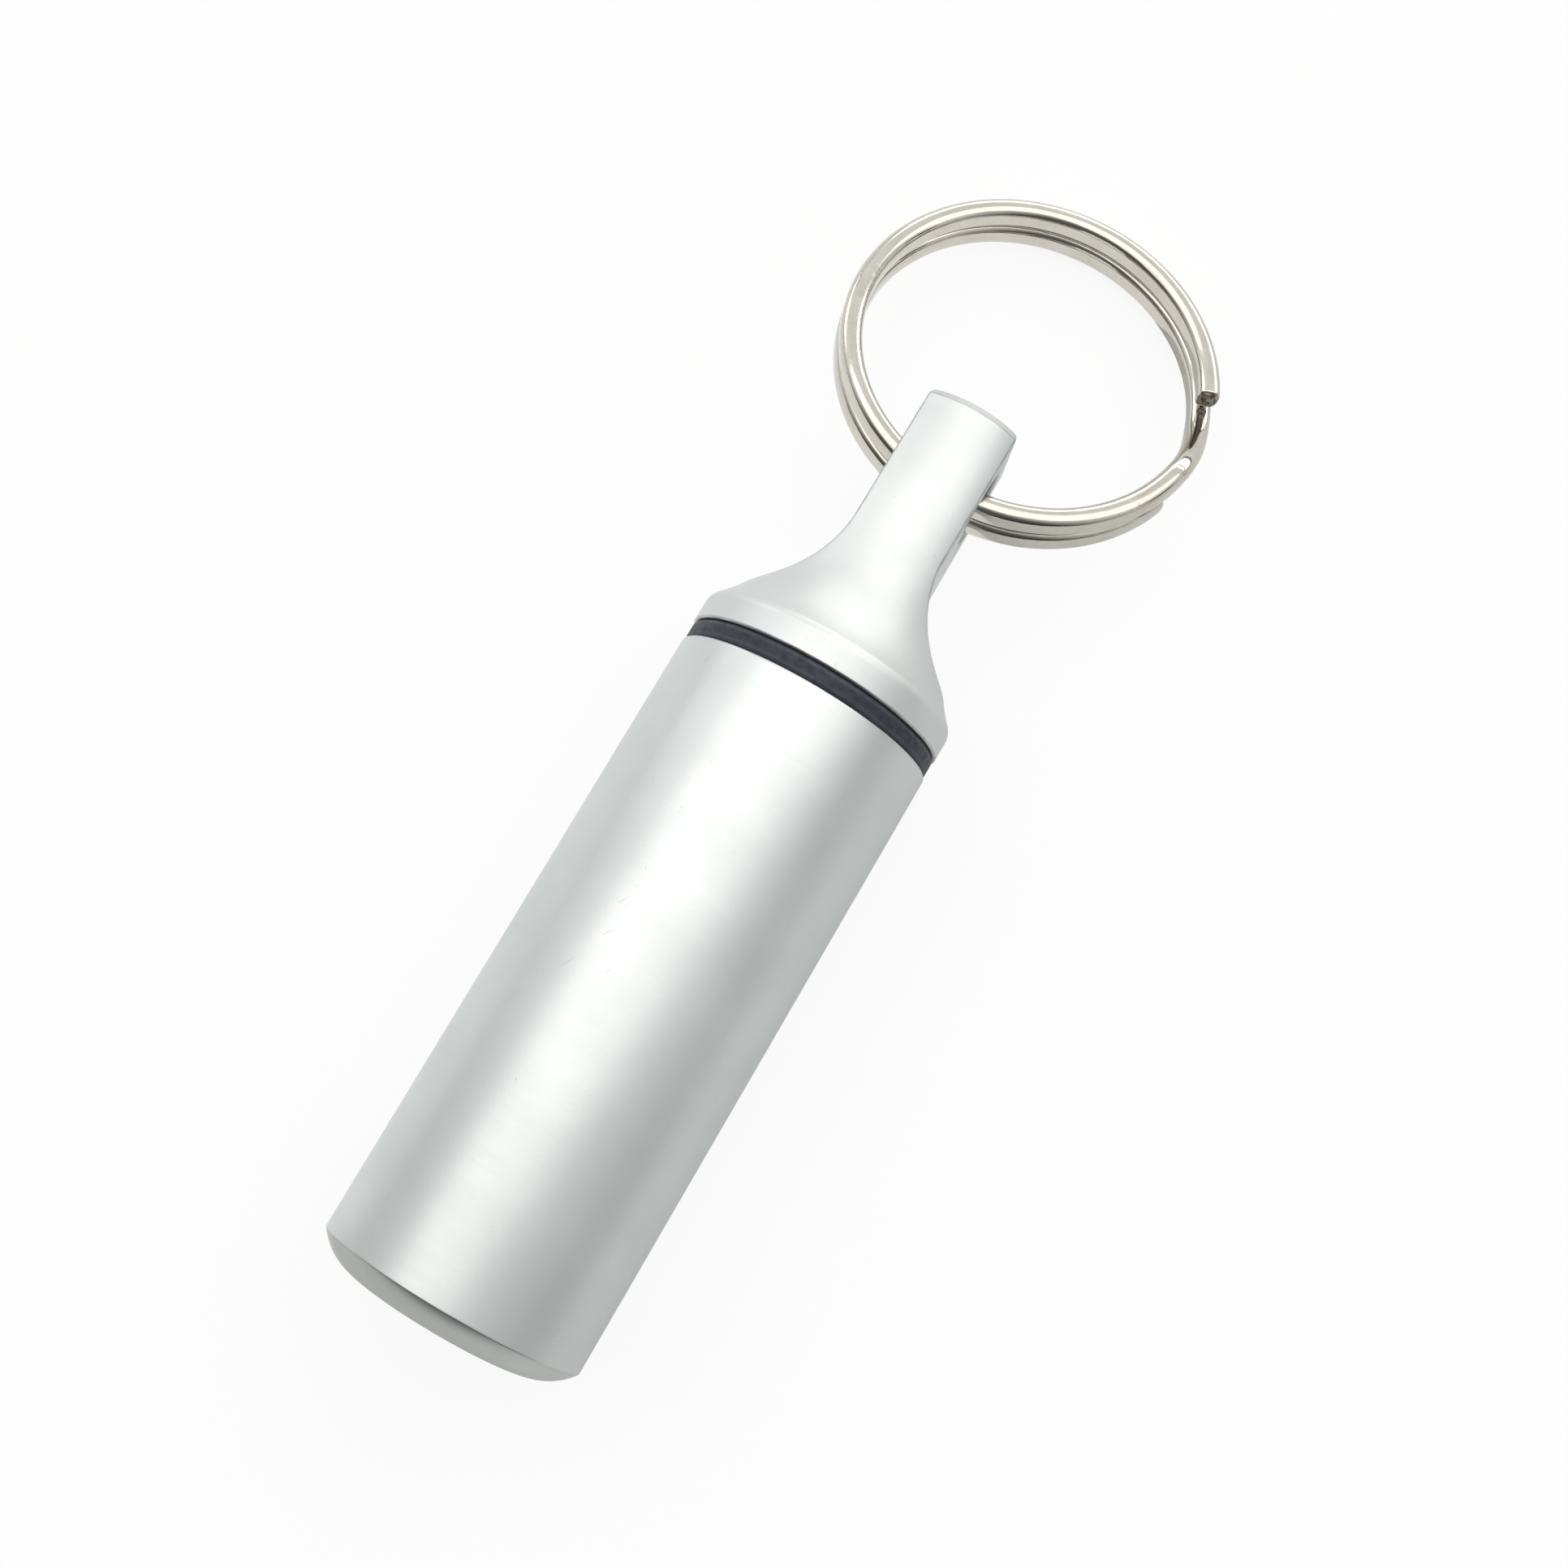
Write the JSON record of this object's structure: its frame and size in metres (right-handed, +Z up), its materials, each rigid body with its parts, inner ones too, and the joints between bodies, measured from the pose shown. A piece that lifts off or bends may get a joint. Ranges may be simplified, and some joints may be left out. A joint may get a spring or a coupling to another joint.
{
  "type": "pill fob keychain",
  "caption": "Slim metal pill container with a rubber-sealed screw cap that narrows to a flat tongue, hung on a split key ring.",
  "frame": {"origin": "centre of the closed bottom face of the container body", "axes": "+X along the fob's axis from the closed bottom to the tongue and the ring; +Z up from the table it lies on, which is at Z = -8 mm; the cross hole in the tongue runs along Y"},
  "size_m": [0.0771, 0.0236, 0.016],
  "materials": {
    "body_metal": "fine bead-blasted and clear anodised, satin",
    "cap_metal": "fine bead-blasted and clear anodised, satin",
    "seal_rubber": "moulded nitrile rubber, dull dark slate",
    "ring_steel": "bright nickel-plated spring steel"
  },
  "bodies": {
    "container": {"container_body": "body_metal"},
    "seal": {"o_ring": "seal_rubber"},
    "cap": {"screw_cap": "cap_metal"},
    "ring": {"split_ring": "ring_steel"}
  },
  "joints": [
    {"name": "seal_lift", "type": "slide", "parent": "container", "child": "seal", "axis": [1, 0, 0], "range_m": [0, 0.005]},
    {"name": "cap_turn", "type": "hinge", "parent": "seal", "child": "cap", "pos_m": [0.0407, 0, 0], "axis": [1, 0, 0], "range_deg": [0, 1800]},
    {"name": "ring_swing", "type": "hinge", "parent": "cap", "child": "ring", "pos_m": [0.05478, 0, -0.0002], "axis": [0, 1, 0], "range_deg": [-165, 133]}
  ],
  "couplings": [
    {"joint": "seal_lift", "follows": "cap_turn", "m_per_rad": 0.00015915}
  ]
}
